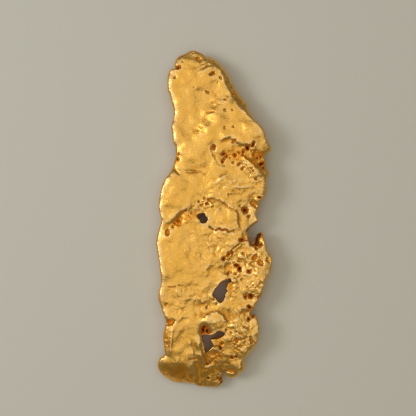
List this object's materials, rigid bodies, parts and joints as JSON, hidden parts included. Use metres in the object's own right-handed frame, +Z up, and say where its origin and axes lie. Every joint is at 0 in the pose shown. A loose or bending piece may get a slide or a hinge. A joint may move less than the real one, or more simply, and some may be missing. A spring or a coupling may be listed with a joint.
{
  "type": "gold nugget",
  "caption": "Flat, elongated waterworn nugget of native gold with ragged edges, small holes right through it and ironstone-stained pits.",
  "frame": {"origin": "on the surface that the nugget lies on, under the middle of its box", "axes": "+Y along the length, towards the narrow upper end; +X across the face, towards the ragged side; +Z up, out of the face"},
  "size_m": [0.0233, 0.0676, 0.0064],
  "materials": {
    "gold": "waterworn native gold, satin, with orange-brown iron stain in the pits"
  },
  "bodies": {
    "root": {"nugget": "gold"}
  },
  "joints": []
}
